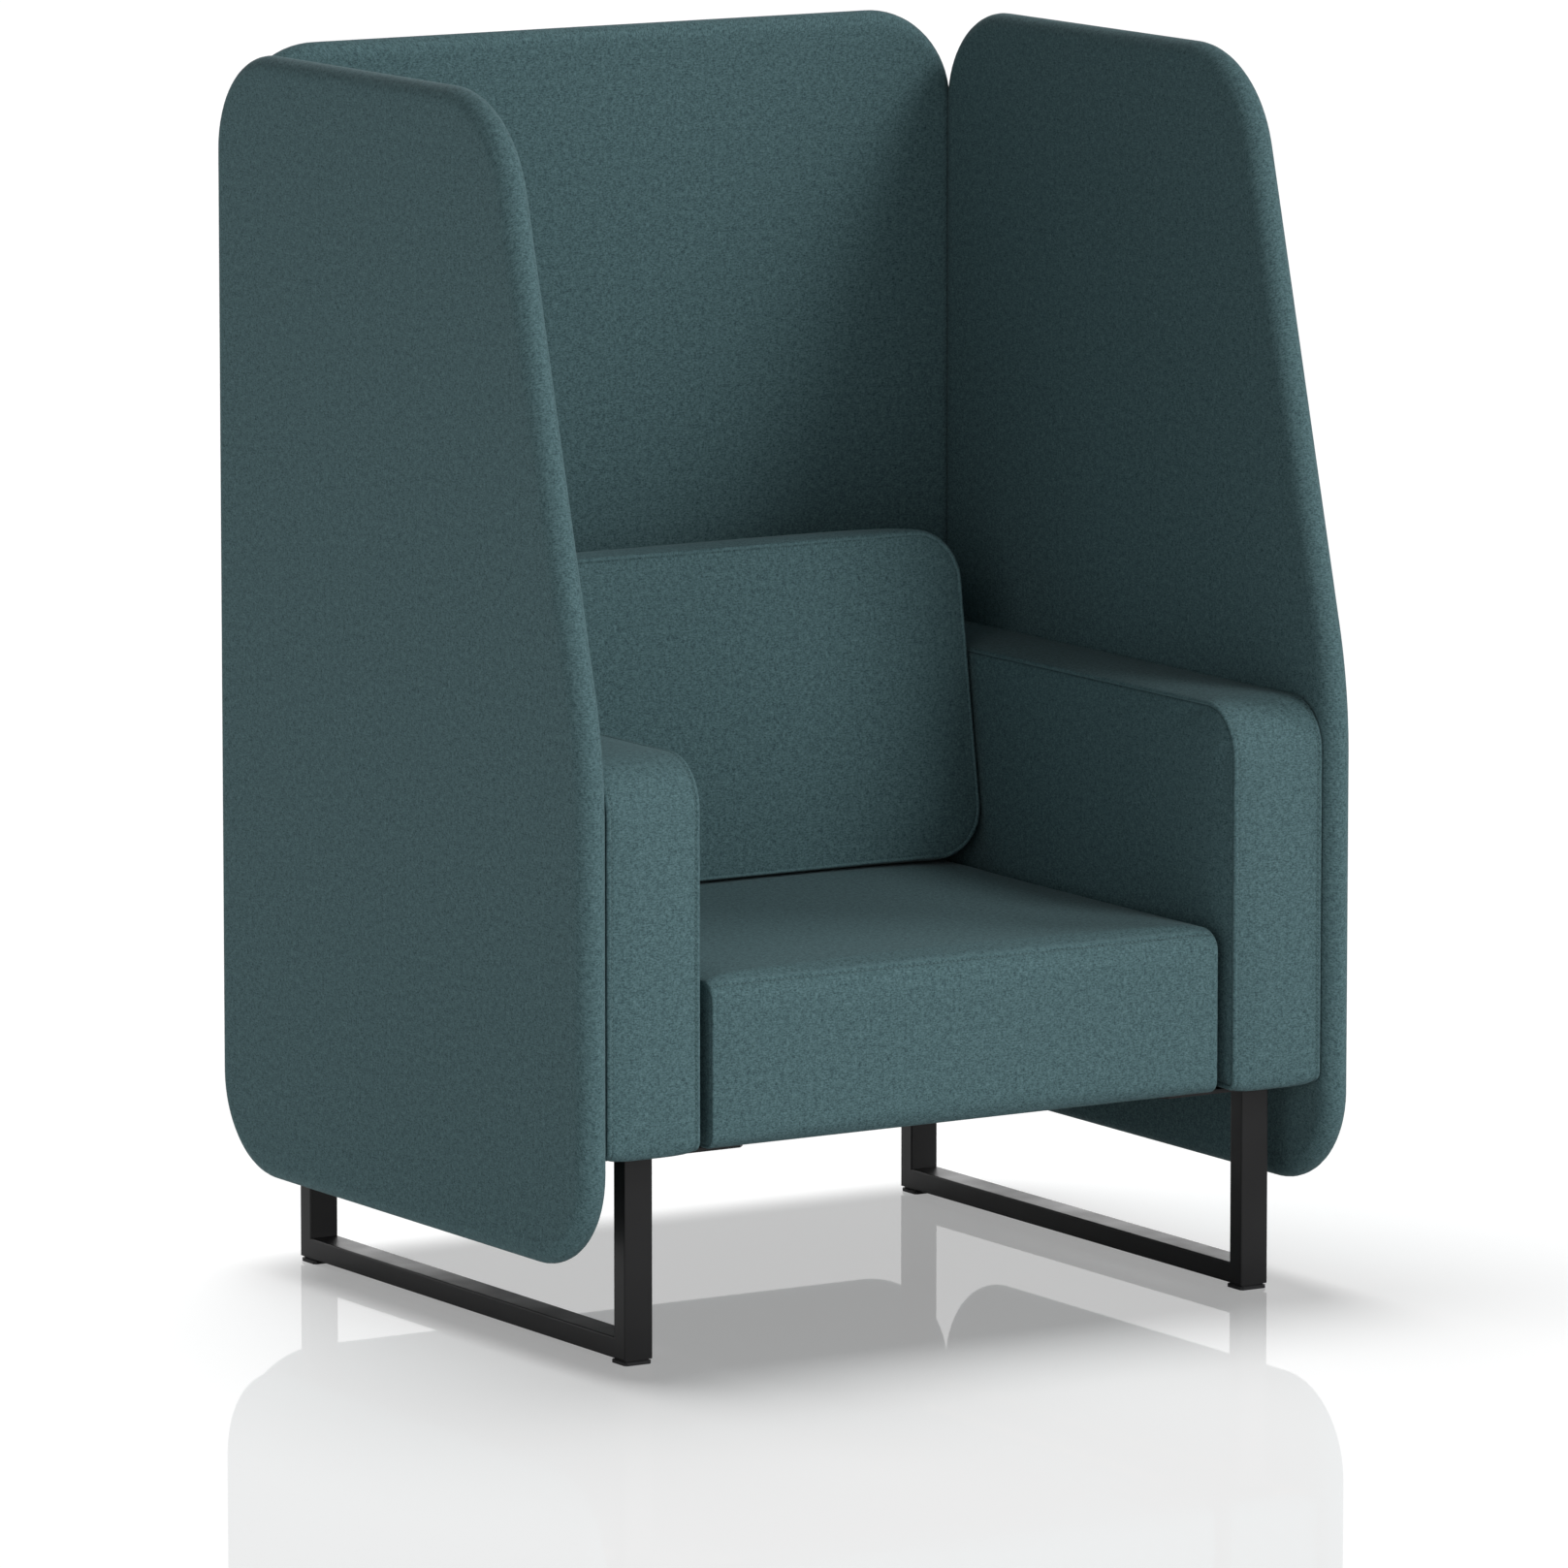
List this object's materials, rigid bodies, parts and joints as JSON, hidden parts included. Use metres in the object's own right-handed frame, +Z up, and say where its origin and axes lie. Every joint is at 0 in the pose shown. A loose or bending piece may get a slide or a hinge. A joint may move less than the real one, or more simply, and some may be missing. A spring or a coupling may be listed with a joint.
{
  "type": "privacy booth sofa",
  "caption": "Privacy booth sofa: padded armchair with a back cushion on black sled legs, enclosed by tall upholstered side and back panels with round corners.",
  "frame": {"origin": "on the floor below the middle of the overall box", "axes": "+Z up, the sofa faces -Y, +X to the right of someone looking at its front"},
  "size_m": [1.068, 0.88, 1.468],
  "materials": {
    "upholstery": "heathered blue-green weave",
    "frame_steel": "satin black powder coat",
    "glide_plastic": "matt black",
    "bolt_steel": "black zinc",
    "foam": "open-cell foam",
    "timber": "raw plywood and beech",
    "webbing": "woven elastic strap",
    "dust_cloth": "black non-woven cloth"
  },
  "bodies": {
    "root": {"back_cushion_cover": "upholstery", "back_cushion_foam": "foam", "back_frame_cover": "upholstery", "back_frame_dust_cover": "dust_cloth", "back_frame_foam": "foam", "back_frame_front_board": "timber", "back_frame_rails": "timber", "back_frame_rear_board": "timber", "back_panel_core": "timber", "back_panel_cover": "upholstery", "back_panel_inner_foam": "foam", "back_panel_outer_foam": "foam", "floor_glides": "glide_plastic", "left_arm_cover": "upholstery", "left_arm_dust_cover": "dust_cloth", "left_arm_foam": "foam", "left_arm_inner_board": "timber", "left_arm_outer_board": "timber", "left_arm_rails": "timber", "left_floor_rail": "frame_steel", "left_front_leg": "frame_steel", "left_front_plate": "frame_steel", "left_panel_core": "timber", "left_panel_cover": "upholstery", "left_panel_inner_foam": "foam", "left_panel_outer_foam": "foam", "left_rear_leg": "frame_steel", "left_rear_plate": "frame_steel", "left_seat_rail": "timber", "plate_bolts": "bolt_steel", "right_arm_cover": "upholstery", "right_arm_dust_cover": "dust_cloth", "right_arm_foam": "foam", "right_arm_inner_board": "timber", "right_arm_outer_board": "timber", "right_arm_rails": "timber", "right_floor_rail": "frame_steel", "right_front_leg": "frame_steel", "right_front_plate": "frame_steel", "right_panel_core": "timber", "right_panel_cover": "upholstery", "right_panel_inner_foam": "foam", "right_panel_outer_foam": "foam", "right_rear_leg": "frame_steel", "right_rear_plate": "frame_steel", "right_seat_rail": "timber", "seat_corner_blocks": "timber", "seat_cover": "upholstery", "seat_crosswise_webbing": "webbing", "seat_dust_cover": "dust_cloth", "seat_foam": "foam", "seat_front_rail": "timber", "seat_lengthwise_webbing": "webbing", "seat_rear_rail": "timber"}
  },
  "joints": []
}
